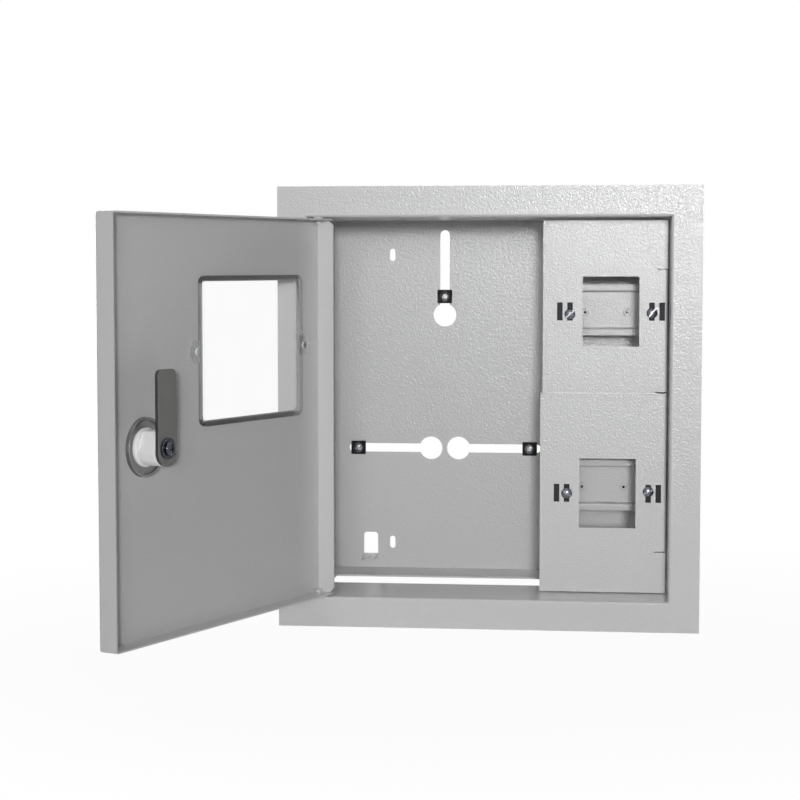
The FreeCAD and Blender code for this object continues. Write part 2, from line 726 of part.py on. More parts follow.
def build_door_panel():
    """Folded pan with window opening, lock hole and hinge holes; its origin is on the hinge axis."""
    body = new_body("door_panel")
    rear = "door_flange - pivot_depth"
    pan = sketch_on(body, "XZ_Plane", "-(%s)" % rear)
    box(pan, "-pivot_edge", DOOR_END, "-" + DOOR_HALF, DOOR_HALF)
    pad(body, pan, "door_flange")
    front = -SIZES["pivot_depth"]

    def skin_edge(middle, run):
        return same(middle.y, front) or along(run, 1)

    round_edges(body, "door_bend + door_steel", skin_edge)
    hollow = sketch_on(body, "XZ_Plane", "-" + SKIN_INSIDE)
    box(hollow, "door_steel - pivot_edge", DOOR_END + " - door_steel",
        "door_steel - " + DOOR_HALF, DOOR_HALF + " - door_steel")
    pocket(body, hollow)
    window = sketch_on(body, "XZ_Plane", "pivot_depth + spare")
    box(window, "window_u - window_half", "window_u + window_half",
        WINDOW_Z + " - window_half_high", WINDOW_Z + " + window_half_high")
    circle(window, LOCK_U, "lock_z", "dish_radius + dish_fit")
    for side in ("-", "+"):
        circle(window, "window_u %s %s" % (side, EAR_U), WINDOW_Z, "ear_rivet + rivet_fit")
    pocket(body, window)
    left, right = SIZES["window_u"] - SIZES["window_half"], SIZES["window_u"] + SIZES["window_half"]

    def window_edge(middle, run):
        return along(run, 1) and (same(middle.x, left) or same(middle.x, right))

    round_edges(body, "window_corner", window_edge)
    hinge = sketch_on(body, "XY_Plane", "-(%s + spare)" % DOOR_HALF)
    circle(hinge, "0", "0", "pin_radius + pin_fit")
    pocket(body, hinge, reverse=True)
    relief = sketch_on(body, "YZ_Plane", "-(pivot_edge + spare)")
    for sign in ("+", "-"):
        outer, inner = sign + "(" + DOOR_HALF + " + spare)", sign + "(" + DOOR_HALF + " - door_notch)"
        outline(relief, [(rear + " - door_notch", outer), (rear + " + spare", outer),
                         (rear + " + spare", inner)])
    pocket(body, relief, "door_steel + 1.5 * spare", reverse=True)
    hang(body)


def build_window():
    """Clear pane with a raised rim and two ears, riveted to the inside of the skin."""
    body = new_body("window_pane")
    half, tall = "(window_half + pane_lap)", "(window_half_high + pane_lap)"
    inside = "(%s + pane_thick)" % SKIN_INSIDE
    plate = sketch_on(body, "XZ_Plane", "-(%s + rim_high)" % inside)
    box(plate, "window_u - " + half, "window_u + " + half, WINDOW_Z + " - " + tall, WINDOW_Z + " + " + tall)
    pad(body, plate, "pane_thick + rim_high")
    round_edges(body, "window_corner + pane_lap / 2", lambda middle, run: along(run, 1))
    well = sketch_on(body, "XZ_Plane", "-" + inside)
    box(well, "window_u - window_half", "window_u + window_half",
        WINDOW_Z + " - window_half_high", WINDOW_Z + " + window_half_high")
    pocket(body, well)
    ears = sketch_on(body, "XZ_Plane", "-" + inside)
    for side in ("-", "+"):
        circle(ears, "window_u %s %s" % (side, EAR_U), WINDOW_Z, "ear_radius")
    pad(body, ears, "pane_thick")
    holes = sketch_on(body, "XZ_Plane", "pivot_depth + spare")
    for side in ("-", "+"):
        circle(holes, "window_u %s %s" % (side, EAR_U), WINDOW_Z, "ear_rivet + rivet_fit")
    pocket(body, holes)
    hang(body)
    members = []
    for side, word in (("-", "near"), ("+", "far")):
        rivet = new_body("window_rivet_" + word)
        grip = "(door_steel + pane_thick)"
        head, high = "(ear_rivet + ear_rivet_lip)", "ear_rivet_high"
        turned(rivet, "XY_Plane", [
            ("0", "-" + high), (head, "-" + high), (head, "0"), ("ear_rivet", "0"), ("ear_rivet", grip),
            (head, grip), (head, "%s + %s / 2" % (grip, high)),
            (head + " - ear_rivet_lip / 2", "%s + %s" % (grip, high)), ("0", "%s + %s" % (grip, high))])
        hang(rivet, "window_u %s %s" % (side, EAR_U), "-pivot_depth", WINDOW_Z)
        members.append(rivet)
    group("window_rivets", members)


def build_lock():
    """Escutcheon and sleeve fixed in the door, plug with cam, washer and screw turning in them."""
    def at_lock(body):
        hang(body, LOCK_U, "-pivot_depth", "lock_z")

    dish = new_body("lock_escutcheon")
    deep = "dish_floor + dish_tall"
    through, well = "plug_radius + dish_bore_play", "plug_head + dish_well"
    turned(dish, "XY_Plane", [
        (through, "dish_well_floor"), (well, "dish_well_floor"), (well, "-dish_rim_thick"),
        ("dish_rim", "-dish_rim_thick"), ("dish_rim", "0"), ("dish_radius", "0"), ("dish_radius", deep),
        ("dish_radius - dish_wall", deep), ("dish_radius - dish_wall", "dish_floor"),
        (through, "dish_floor")])
    at_lock(dish)

    sleeve = new_body("lock_sleeve")
    bore = "plug_radius + plug_fit"
    collar, collar_end = "sleeve_radius + sleeve_collar", "dish_floor + sleeve_collar_thick"
    turned(sleeve, "XY_Plane", [
        (bore, "dish_floor"), (collar, "dish_floor"), (collar, collar_end),
        ("sleeve_radius", collar_end + " + sleeve_collar / 2"),
        ("sleeve_radius", "sleeve_end - sleeve_chamfer"),
        ("sleeve_radius - sleeve_chamfer", "sleeve_end"), (bore, "sleeve_end")])
    flats = sketch_on(sleeve, "XZ_Plane", "-(%s + sleeve_collar)" % collar_end)
    cosine, sine = "cos(sleeve_turn * 1 deg)", "sin(sleeve_turn * 1 deg)"
    for side in ("", "-"):
        outline(flats, [
            ("%s(%s * %s - %s * %s)" % (side, out, cosine, across, sine),
             "%s(%s * %s + %s * %s)" % (side, out, sine, across, cosine))
            for out, across in (("sleeve_flat", "-sleeve_radius"), ("2 * sleeve_radius", "-sleeve_radius"),
                                ("2 * sleeve_radius", "sleeve_radius"), ("sleeve_flat", "sleeve_radius"))])
    pocket(sleeve, flats)
    at_lock(sleeve)

    plug = new_body("lock_plug")
    turned(plug, "XY_Plane", [
        ("0", "-plug_head_thick"), ("plug_head", "-plug_head_thick"), ("plug_head", "-plug_head_play"),
        ("plug_radius", "-plug_head_play"), ("plug_radius", CAM_NEAR), ("0", CAM_NEAR)])
    stud = sketch_on(plug, "XZ_Plane", "plug_head_thick")
    outline(stud, [("-stud_side", "-stud_side / sqrt(3)"), ("stud_side", "-stud_side / sqrt(3)"),
                   ("0", "2 * stud_side / sqrt(3)")])
    pad(plug, stud, "stud_tall")
    drive = sketch_on(plug, "XZ_Plane", "-" + CAM_FAR)
    box(drive, "-drive_half", "drive_half", "-drive_half", "drive_half")
    pad(plug, drive, "cam_thick")
    thread = sketch_on(plug, "XZ_Plane", "-(%s - cam_screw_long)" % CAM_FAR)
    circle(thread, "0", "0", "cam_screw_radius + thread_fit")
    pocket(plug, thread)
    at_lock(plug)

    cam = new_body("lock_cam")
    blank = sketch_on(cam, "XZ_Plane", "-" + CAM_FAR)
    box(blank, "-cam_half", "cam_half", "-cam_tail", "cam_reach")
    pad(cam, blank, "cam_thick")
    tail = -SIZES["cam_tail"]
    round_edges(cam, "cam_tail_round", lambda middle, run: along(run, 1) and same(middle.z, tail))
    tip = SIZES["cam_reach"]
    round_edges(cam, "cam_tip", lambda middle, run: along(run, 1) and same(middle.z, tip))
    square = sketch_on(cam, "XZ_Plane")
    box(square, "-drive_half - thread_fit", "drive_half + thread_fit",
        "-drive_half - thread_fit", "drive_half + thread_fit")
    pocket(cam, square)
    at_lock(cam)

    washer = new_body("cam_washer")
    far = CAM_FAR + " + washer_thick"
    turned(washer, "XY_Plane", [
        ("cam_screw_radius + thread_fit", CAM_FAR), ("washer_radius", CAM_FAR), ("washer_radius", far),
        ("cam_screw_radius + thread_fit", far)])
    at_lock(washer)

    screw = new_body("cam_screw")
    crown = far + " + cam_screw_high"
    start = far + " - cam_screw_long + spare"
    turned(screw, "XY_Plane", [
        ("0", start), ("cam_screw_radius", start), ("cam_screw_radius", far), ("cam_screw_head", far),
        ("cam_screw_head", far + " + cam_screw_high / 2"), ("cam_screw_head - cam_screw_high / 3", crown),
        ("0", crown)])
    cross_recess(screw, crown + " - recess_deep")
    at_lock(screw)


def main():
    sheet.Label = "Sizes"
    for row, (name, value) in enumerate(SIZES.items(), start=1):
        sheet.set("A%d" % row, name)
        sheet.set("B%d" % row, str(value))
        sheet.setAlias("B%d" % row, name)
    doc.recompute()
    build_shell()
    build_tray("top_tray", "+")
    build_tray("bottom_tray", "-")
    build_hinge_pin("hinge_pin_top", "+")
    build_hinge_pin("hinge_pin_bottom", "-")
    for bay in ("upper", "lower"):
        build_bracket(bay)
        build_rail(bay)
        build_cover(bay)
    build_rail_rivets()
    build_cover_screws()
    build_slider("top", METER_X, HOOK_KEY + " + top_slider_up")
    build_slider("left", METER_X + " - left_slider_out", FOOT_Z)
    build_slider("right", METER_X + " + right_slider_out", FOOT_Z)
    build_door_panel()
    build_window()
    build_lock()
    doc.recompute()
    for item in doc.Objects:
        if "Invalid" in item.State or "Error" in item.State:
            raise RuntimeError(item.Label + " did not compute")
    os.makedirs("parts", exist_ok=True)
    for label, node in nodes.items():
        shape = node.Shape
        if shape.isNull() or not shape.isValid():
            raise RuntimeError(label + " has no valid shape")
        shape.exportStep("parts/" + label + ".step")


main()
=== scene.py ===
"""Looks of a flush-mounted meter box: finishes, fasteners, studio light and camera."""
import json
import math

import bmesh
import bpy
from mathutils import Matrix, Vector


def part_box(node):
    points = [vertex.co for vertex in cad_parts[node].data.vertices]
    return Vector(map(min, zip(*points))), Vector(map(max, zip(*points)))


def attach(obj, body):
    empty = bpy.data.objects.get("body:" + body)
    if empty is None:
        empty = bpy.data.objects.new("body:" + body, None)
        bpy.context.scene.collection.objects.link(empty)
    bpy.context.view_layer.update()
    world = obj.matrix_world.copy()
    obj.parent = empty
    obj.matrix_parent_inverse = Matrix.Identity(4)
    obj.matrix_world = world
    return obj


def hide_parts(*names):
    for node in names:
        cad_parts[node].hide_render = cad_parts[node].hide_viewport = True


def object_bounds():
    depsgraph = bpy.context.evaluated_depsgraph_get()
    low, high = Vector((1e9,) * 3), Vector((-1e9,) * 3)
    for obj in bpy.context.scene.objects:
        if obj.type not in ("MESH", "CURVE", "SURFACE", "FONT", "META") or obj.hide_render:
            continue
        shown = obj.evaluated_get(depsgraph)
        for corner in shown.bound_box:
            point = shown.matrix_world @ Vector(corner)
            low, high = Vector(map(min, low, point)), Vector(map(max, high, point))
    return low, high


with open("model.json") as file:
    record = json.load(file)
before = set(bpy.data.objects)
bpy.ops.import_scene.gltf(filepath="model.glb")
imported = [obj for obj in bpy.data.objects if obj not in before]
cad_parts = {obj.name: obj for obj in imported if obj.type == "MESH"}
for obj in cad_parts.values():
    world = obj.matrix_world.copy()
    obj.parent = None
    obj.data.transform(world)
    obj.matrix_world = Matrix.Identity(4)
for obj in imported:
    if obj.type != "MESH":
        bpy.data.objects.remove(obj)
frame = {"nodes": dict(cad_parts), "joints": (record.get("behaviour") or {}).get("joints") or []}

bl_info = {
    "name": "Meter box looks",
    "version": (1, 0, 0),
    "blender": (4, 5, 0),
    "location": "3D View > Sidebar > Meter box",
    "description": "Dresses the meter box and sets it in a pale studio",
    "category": "Object",
}

CAD_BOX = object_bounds()
JOINTS = {joint["name"]: joint for joint in frame["joints"]}
MM = 0.001
WELD = 1e-7
NEAR = 1e-6
FRONT = Vector((0.0, -1.0, 0.0))
UP = Vector((0.0, 0.0, 1.0))
WHITE = (1.0, 1.0, 1.0)

PAINTED = ("wrap_shell", "top_tray", "bottom_tray", "hinge_pin_top", "hinge_pin_bottom", "upper_cover",
           "lower_cover", "door_panel")
SLIDES = ("top", "left", "right")

# How far each screw stopped turning, in degrees, and radii and recess sizes of the screws.
COVER_SCREW_TURNS = (42, 52, -35, 24)
SLIDE_SCREW_TURN = 20
CAM_SCREW_TURN = 10
COVER_SHANK = 1.6 * MM
MACHINE_SHANK = 2.0 * MM
CAM_HEAD_RADIUS = 4.2 * MM
RECESS_HALF = 0.5 * MM
RECESS_DEPTH = 1.5 * MM
CAM_RECESS_HALF = 0.6 * MM
CAM_RECESS_DEPTH = 1.7 * MM
RECESS_SPARE = 0.2 * MM


class PaintSettings(bpy.types.PropertyGroup):
    """Powder coat of the sheet metal, and sizes of the rails."""
    colour: bpy.props.FloatVectorProperty(
        name="Coat colour", description="Colour of the powder coat", subtype="COLOR", size=3,
        min=0.0, max=1.0, default=(0.64, 0.64, 0.64))
    grain: bpy.props.FloatProperty(
        name="Grain", description="Width of one bump of the orange-peel texture", unit="LENGTH",
        min=0.0001, default=0.001)
    grain_height: bpy.props.FloatProperty(
        name="Grain height", description="Height of the orange-peel texture", unit="LENGTH",
        min=0.0, default=0.0002)
    roughness: bpy.props.FloatProperty(
        name="Roughness", description="Roughness of the coat", subtype="FACTOR",
        min=0.0, max=1.0, default=0.17)
    shine: bpy.props.FloatProperty(
        name="Shine", description="Strength of the coat's mirror light, 0.5 being that of plain lacquer",
        subtype="FACTOR", min=0.0, max=1.0, default=0.2)
    rail_channel: bpy.props.FloatProperty(
        name="Rail channel", description="Half the width inside a rail", unit="LENGTH", default=0.0125)
    rail_steel: bpy.props.FloatProperty(
        name="Rail steel", description="Thickness of a rail", unit="LENGTH", default=0.001)
    rail_bend: bpy.props.FloatProperty(
        name="Rail bend", description="Outer radius of the bends of a rail", unit="LENGTH", default=0.0015)
    rail_hole: bpy.props.FloatProperty(
        name="Rail hole", description="Radius of a rivet hole in a rail", unit="LENGTH", default=0.0017)


class FittingSettings(bpy.types.PropertyGroup):
    """Colours of the lock and slides, and looks and size of the window."""
    cam_colour: bpy.props.FloatVectorProperty(
        name="Cam colour", description="Phosphated steel of the lock's cam", subtype="COLOR", size=3,
        min=0.0, max=1.0, default=(0.18, 0.18, 0.175))
    barrel_colour: bpy.props.FloatVectorProperty(
        name="Barrel colour", description="Moulded barrel of the lock", subtype="COLOR", size=3,
        min=0.0, max=1.0, default=(0.94, 0.94, 0.94))
    zinc_colour: bpy.props.FloatVectorProperty(
        name="Zinc colour", description="Die-cast dish and plug of the lock", subtype="COLOR", size=3,
        min=0.0, max=1.0, default=(0.27, 0.27, 0.27))
    slide_colour: bpy.props.FloatVectorProperty(
        name="Slide colour", description="Plates of the meter slides", subtype="COLOR", size=3,
        min=0.0, max=1.0, default=(0.006, 0.006, 0.007))
    pane_haze: bpy.props.FloatProperty(
        name="Pane haze", description="How much the clear middle of the pane shows", subtype="FACTOR",
        min=0.0, max=1.0, default=0.03)
    # Painted shade: the lip of the pane is coloured dark and made more opaque, standing for the light its
    # edge turns away.
    rim_shade_colour: bpy.props.FloatVectorProperty(
        name="Rim colour", description="Lip of the window pane, where light is trapped", subtype="COLOR",
        size=3, min=0.0, max=1.0, default=(0.085, 0.085, 0.085))
    rim_cover: bpy.props.FloatProperty(
        name="Rim cover", description="How much the lip of the pane hides what is behind it",
        subtype="FACTOR", min=0.0, max=1.0, default=0.36)
    window_half: bpy.props.FloatVectorProperty(
        name="Window half size", description="Half width and half height of the opening in the door",
        subtype="XYZ_LENGTH", size=2, default=(0.0528, 0.042))


class FastenerSettings(bpy.types.PropertyGroup):
    """Sizes and colours of the screws, and plating of nuts and rivets."""
    cover_head: bpy.props.FloatProperty(
        name="Cover screw head", description="Height of a cover screw's head", unit="LENGTH", default=0.0024)
    slide_head: bpy.props.FloatProperty(
        name="Slide screw head", description="Height of a slide screw's head", unit="LENGTH", default=0.0022)
    cam_head: bpy.props.FloatProperty(
        name="Cam screw head", description="Height of the cam screw's head", unit="LENGTH", default=0.0026)
    pitch: bpy.props.FloatProperty(
        name="Thread pitch", description="Rise of the thread in one turn", unit="LENGTH", default=0.0007)
    thread: bpy.props.FloatProperty(
        name="Thread depth", description="Depth of the thread", unit="LENGTH", default=0.0003)
    cam_colour: bpy.props.FloatVectorProperty(
        name="Cam screw colour", description="Blackened steel of the cam's screw and washer", subtype="COLOR",
        size=3, min=0.0, max=1.0, default=(0.075, 0.078, 0.092))
    slide_colour: bpy.props.FloatVectorProperty(
        name="Slide screw colour", description="Steel of the slide screws", subtype="COLOR", size=3,
        min=0.0, max=1.0, default=(0.23, 0.234, 0.245))
    colour: bpy.props.FloatVectorProperty(
        name="Screw colour", description="Blued steel of the cover screws", subtype="COLOR", size=3,
        min=0.0, max=1.0, default=(0.14, 0.144, 0.16))
    plating: bpy.props.FloatVectorProperty(
        name="Plating colour", description="Zinc plating of the nuts and window rivets", subtype="COLOR",
        size=3, min=0.0, max=1.0, default=(0.60, 0.60, 0.585))


class StudioSettings(bpy.types.PropertyGroup):
    """Light, floor and camera."""
    key: bpy.props.FloatProperty(
        name="Key light", description="Power of the lamp right of the camera", unit="POWER", default=1.92)
    fill: bpy.props.FloatProperty(
        name="Fill light", description="Power of the soft lamp above the camera", unit="POWER", default=1.8)
    top: bpy.props.FloatProperty(
        name="Top light", description="Power of the soft lamp above", unit="POWER", default=1.5)
    rear: bpy.props.FloatProperty(
        name="Rear light", description="Power of each of two soft lamps behind", unit="POWER", default=5.5)
    ambient: bpy.props.FloatProperty(
        name="Ambient", description="Level of the light from all round", min=0.0, default=0.02)
    lens: bpy.props.FloatProperty(
        name="Lens", description="Focal length on a 36 mm sensor, in millimetres", default=87.2)
    eye: bpy.props.FloatVectorProperty(
        name="Camera place", description="Where the camera stands", subtype="TRANSLATION", size=3,
        default=(0.07504, -1.25922, 0.09366))
    down: bpy.props.FloatProperty(
        name="Camera tilt", description="How far the camera looks down", subtype="ANGLE",
        default=math.radians(3.98))
    left: bpy.props.FloatProperty(
        name="Camera turn", description="How far the camera looks to the left", subtype="ANGLE",
        default=math.radians(6.0))


class Wire:
    """A value between two nodes: arithmetic on it adds Math nodes."""

    def __init__(self, recipe, socket):
        self.recipe = recipe
        self.socket = socket

    def math(self, operation, first, second):
        return self.recipe.node("ShaderNodeMath", {"operation": operation}, {0: first, 1: second})

    def __add__(self, other):
        return self.math("ADD", self, other)

    def __radd__(self, other):
        return self.math("ADD", other, self)

    def __sub__(self, other):
        return self.math("SUBTRACT", self, other)

    def __rsub__(self, other):
        return self.math("SUBTRACT", other, self)

    def __abs__(self):
        return self.math("ABSOLUTE", self, 0.0)

    def __mul__(self, other):
        return self.math("MULTIPLY", self, other)

    def __rmul__(self, other):
        return self.math("MULTIPLY", other, self)


class Recipe:
    """The nodes of one material or of the world."""

    def __init__(self, tree):
        self.tree = tree

    def node(self, kind, settings=None, sockets=None, out=0):
        """Add a node: first its settings, then the values or wires of its sockets."""
        made = self.tree.nodes.new(kind)
        for key, value in (settings or {}).items():
            setattr(made, key, value)
        self.feed(made, sockets or {})
        return Wire(self, made.outputs[out])

    def feed(self, made, sockets):
        for key, value in sockets.items():
            if isinstance(value, Wire):
                self.tree.links.new(value.socket, made.inputs[key])
            else:
                made.inputs[key].default_value = value

    def place(self):
        """Where a point is, in the row frame at rest."""
        return self.node("ShaderNodeTexCoord", out="Object")

    def noise(self, size, detail=2.0, rough=0.5):
        """Noise from 0 to 1 with blotches of that size."""
        return self.node("ShaderNodeTexNoise", {}, {
            "Vector": self.place(), "Scale": 1.0 / size, "Detail": detail, "Roughness": rough})

    def dot(self, first, second):
        """Scalar product of two directions or places."""
        return self.node("ShaderNodeVectorMath", {"operation": "DOT_PRODUCT"},
                         {0: first, 1: second}, out="Value")

    def blend(self, share, first, second):
        """A colour between two."""
        return self.node("ShaderNodeMix", {"data_type": "RGBA"}, {0: share, 6: first, 7: second}, out=2)

    def bump(self, height, depth, edge=0.0):
        """A normal from a height map, over edges that are a little round."""
        sockets = {"Height": height, "Distance": depth, "Strength": 1.0}
        if edge:
            sockets["Normal"] = self.node("ShaderNodeBevel", {"samples": 4}, {"Radius": edge})
        return self.node("ShaderNodeBump", {}, sockets)

    def spread(self, value, low, high, bottom=0.0, top=1.0):
        """A value from one range carried to another, with a soft start and end."""
        return self.node("ShaderNodeMapRange", {"interpolation_type": "SMOOTHSTEP"}, {
            "Value": value, "From Min": low, "From Max": high, "To Min": bottom, "To Max": top})


def rgba(colour, level=1.0):
    """A colour with full alpha, lighter or darker by a level."""
    return (*(channel * level for channel in colour), 1.0)


def new_finish(name):
    """A material and its recipe and shader."""
    material = bpy.data.materials.new(name)
    material.use_nodes = True
    recipe = Recipe(material.node_tree)
    return material, recipe, material.node_tree.nodes["Principled BSDF"]


def powder_coat(settings, name="powder_coat", hole_shade_rounds=()):
    """Light grey powder coat with a fine orange-peel surface, and near black inside the marked rounds:
    painted shade in the rivet holes, with the bare mandrel in them.
    """
    material, recipe, shader = new_finish(name)
    # Broad clouds and fine specks in the colour, then the two layers of the grain.
    shade = recipe.noise(0.09, detail=3.0)
    speck = recipe.noise(0.0009, detail=1.0)
    peel = recipe.noise(settings.grain, detail=1.5, rough=0.45)
    cells = recipe.node("ShaderNodeTexVoronoi", {"feature": "SMOOTH_F1"}, {
        "Vector": recipe.place(), "Scale": 0.8 / settings.grain, "Smoothness": 0.6})
    tint = recipe.blend(shade, rgba(settings.colour, 0.985), rgba(settings.colour, 1.015))
    colour = recipe.blend(recipe.spread(speck, 0.3, 0.75, 0.0, 0.10), tint, rgba(settings.colour, 0.8))
    # Painted shade: each marked round is coloured near black, standing for the shade inside a rivet's hole
    # and its bare mandrel.
    for centre, radius in hole_shade_rounds:
        flat = recipe.node("ShaderNodeVectorMath", {"operation": "MULTIPLY"},
                           {0: recipe.place(), 1: (1, 0, 1)})
        away = recipe.node("ShaderNodeVectorMath", {"operation": "DISTANCE"},
                           {0: flat, 1: (centre.x, 0.0, centre.z)}, out="Value")
        colour = recipe.blend(recipe.spread(away, radius, 0.8 * radius), colour, rgba((0.03, 0.03, 0.03)))
    rough = settings.roughness - 0.02 + 0.04 * recipe.noise(0.003, detail=2.0)
    normal = recipe.bump(0.65 * peel + 0.35 * cells, settings.grain_height)
    recipe.feed(shader, {
        "Base Color": colour, "Roughness": rough, "Normal": normal, "Specular IOR Level": settings.shine})
    return material


def metal(name, colour, rough, patch=0.006, wear_and_glint=0.35):
    """Plated, cast or blackened metal with fine grain, cloudy plating, and edges painted lighter: partly
    rubbed plating, partly a painted highlight.
    """
    grain, depth, edge = 0.0004, 0.00002, 0.0002
    material, recipe, shader = new_finish(name)
    cloud = recipe.noise(patch, detail=3.0)
    fine = recipe.noise(grain, detail=2.0)
    tint = recipe.blend(cloud, rgba(colour, 0.82), rgba(colour, 1.15))
    round_normal = recipe.node("ShaderNodeBevel", {"samples": 4}, {"Radius": edge})
    flat_normal = recipe.node("ShaderNodeNewGeometry", out="Normal")
    agree = recipe.dot(round_normal, flat_normal)
    # Painted highlight along the rounded edges, mixed with patchy rubbed plating: the edge colour is
    # lightened towards pale grey.
    worn_and_glinting_edge = recipe.spread(agree, 0.995, 0.85, 0.0, wear_and_glint) * recipe.spread(fine, 0.35, 0.65)
    colour_out = recipe.blend(worn_and_glinting_edge, tint, rgba((0.62, 0.62, 0.60)))
    recipe.feed(shader, {
        "Base Color": colour_out, "Metallic": 1.0, "Roughness": rough - 0.08 + 0.16 * cloud + 0.05 * fine,
        "Normal": recipe.bump(fine, depth, edge=edge)})
    return material


def plastic(name, colour, rough, shine=0.5):
    """Moulded plastic with a fine eroded texture and faint flow clouds."""
    grain, depth, edge = 0.0006, 0.00001, 0.0003
    material, recipe, shader = new_finish(name)
    cloud = recipe.noise(0.008, detail=3.0)
    fine = recipe.noise(grain, detail=2.0)
    recipe.feed(shader, {
        "Base Color": recipe.blend(cloud, rgba(colour, 0.93), rgba(colour, 1.06)),
        "Roughness": rough - 0.05 + 0.1 * cloud, "Specular IOR Level": shine,
        "Normal": recipe.bump(fine, depth, edge=edge)})
    return material


def door_direction():
    """The direction along the open door to its free edge."""
    angle = math.radians(JOINTS["door_hinge"]["range_deg"][1])
    return Vector((math.cos(angle), -math.sin(angle), 0.0))


def node_span(node, direction):
    """Least and greatest reach of a node along a direction."""
    reach = [vertex.co.dot(direction) for vertex in frame["nodes"][node].data.vertices]
    return min(reach), max(reach)


def dress(node, material):
    """Give a node its finish."""
    mesh = frame["nodes"][node].data
    mesh.materials.clear()
    mesh.materials.append(material)


def soften(node, width):
    """Round the sharp edges of a node."""
    target = frame["nodes"][node]
    weld = target.modifiers.new("weld", "WELD")
    weld.merge_threshold = NEAR
    bevel = target.modifiers.new("soft edges", "BEVEL")
    bevel.width = width
    bevel.segments = 2
    bevel.limit_method = "ANGLE"
    bevel.angle_limit = math.radians(40)
    bevel.harden_normals = True


def turned(profile):
    """A closed shape turned about Z, from (radius, height) points that start and end on the axis."""
    shape = bmesh.new()
    points = [shape.verts.new((radius, 0.0, height)) for radius, height in profile]
    edges = [shape.edges.new(pair) for pair in zip(points, points[1:])]
    bmesh.ops.spin(shape, geom=points + edges, axis=(0, 0, 1), cent=(0, 0, 0), angle=math.tau,
                   steps=40, use_merge=True)
    bmesh.ops.remove_doubles(shape, verts=shape.verts, dist=WELD)
    bmesh.ops.recalc_face_normals(shape, faces=shape.faces)
    return shape


def add_thread(shape, radius, depth, pitch, start, end):
    """A helical ridge round a shank, closed at both ends."""
    per_turn = 18
    half = 0.4 * pitch
    ring = [(radius - 1.6 * depth, -half), (radius - depth, -half), (radius, -0.15 * half),
            (radius, 0.15 * half), (radius - depth, half), (radius - 1.6 * depth, half)]
    loop = [shape.verts.new((across, 0.0, start + up)) for across, up in ring]
    edges = [shape.edges.new((loop[i - 1], loop[i])) for i in range(len(loop))]
    steps = int(per_turn * (end - start) / pitch)
    bmesh.ops.spin(shape, geom=loop + edges, axis=(0, 0, 1), cent=(0, 0, 0),
                   dvec=(0, 0, pitch / per_turn), angle=math.tau * steps / per_turn, steps=steps,
                   use_merge=False)
    ends = [edge for edge in shape.edges if edge.is_boundary]
    bmesh.ops.holes_fill(shape, edges=ends, sides=len(ring))
    bmesh.ops.recalc_face_normals(shape, faces=shape.faces)


def pan_head(radius, high, core, length, settings):
    """Domed head and plain core of a screw: the seat is at the origin and the head looks along +Z."""
    rim = 0.34 * high
    arc = [math.radians(10 * step) for step in range(1, 10)]
    profile = [(0.0, high)]
    profile += [(radius * math.sin(t), rim + (high - rim) * math.cos(t)) for t in arc]
    profile += [(radius, 0.08 * high), (0.97 * radius, 0.0), (core, 0.0),
                (core, settings.thread - length), (core - settings.thread, -length), (0.0, -length)]
    return turned(profile)


def make_screw(name, radius, high, shank, length, driver, place, settings):
    """Pan-head screw with a driver recess and a thread."""
    piece = as_object(name, pan_head(radius, high, shank - settings.thread, length, settings))
    cut(piece, as_object("driver", driver))
    shape = bmesh.new()
    shape.from_mesh(piece.data)
    add_thread(shape, shank, settings.thread, settings.pitch, settings.pitch - length, -settings.pitch)
    bmesh.ops.transform(shape, matrix=place, verts=shape.verts)
    shape.to_mesh(piece.data)
    shape.free()
    return piece


def head_place(low, far, high):
    """Centre of the seat under a head that looks forward, and the head's radius, from a screw's box."""
    return Vector(((low.x + far.x) / 2, low.y + high, (low.z + far.z) / 2)), (far.x - low.x) / 2


def recess(arm, half, deep, top, arms):
    """Cutter for a slot or a cross, narrower towards its floor."""
    shape = bmesh.new()
    bmesh.ops.create_grid(shape, x_segments=1, y_segments=1, size=half)
    for edge in [edge for edge in shape.edges if edge.is_boundary]:
        middle = (edge.verts[0].co + edge.verts[1].co) / 2
        if arms == 2 and abs(middle.y) > abs(middle.x):
            continue
        grown = bmesh.ops.extrude_edge_only(shape, edges=[edge])["geom"]
        ends = [item for item in grown if isinstance(item, bmesh.types.BMVert)]
        bmesh.ops.translate(shape, verts=ends, vec=middle.normalized() * (arm - half))
    bmesh.ops.translate(shape, verts=shape.verts, vec=(0, 0, top))
    grown = bmesh.ops.extrude_face_region(shape, geom=shape.faces[:])["geom"]
    floor = [item for item in grown if isinstance(item, bmesh.types.BMVert)]
    bmesh.ops.translate(shape, verts=floor, vec=(0, 0, -deep))
    bmesh.ops.scale(shape, verts=floor, vec=(0.75, 0.75, 1.0))
    bmesh.ops.recalc_face_normals(shape, faces=shape.faces)
    return shape


def as_object(name, shape, place=None):
    """A mesh object from a bmesh, with its place in its mesh."""
    if place is not None:
        bmesh.ops.transform(shape, matrix=place, verts=shape.verts)
    mesh = bpy.data.meshes.new(name)
    shape.to_mesh(mesh)
    shape.free()
    made = bpy.data.objects.new(name, mesh)
    bpy.context.scene.collection.objects.link(made)
    return made


def cut(piece, cutter):
    """Take the cutter's shape out of a piece, and throw the cutter away."""
    step = piece.modifiers.new("recess", "BOOLEAN")
    step.object = cutter
    step.operation = "DIFFERENCE"
    step.solver = "EXACT"
    bpy.context.view_layer.update()
    graph = bpy.context.evaluated_depsgraph_get()
    whole = piece.data
    piece.data = bpy.data.meshes.new_from_object(piece.evaluated_get(graph))
    piece.modifiers.clear()
    bpy.data.meshes.remove(whole)
    spare = cutter.data
    bpy.data.objects.remove(cutter)
    bpy.data.meshes.remove(spare)


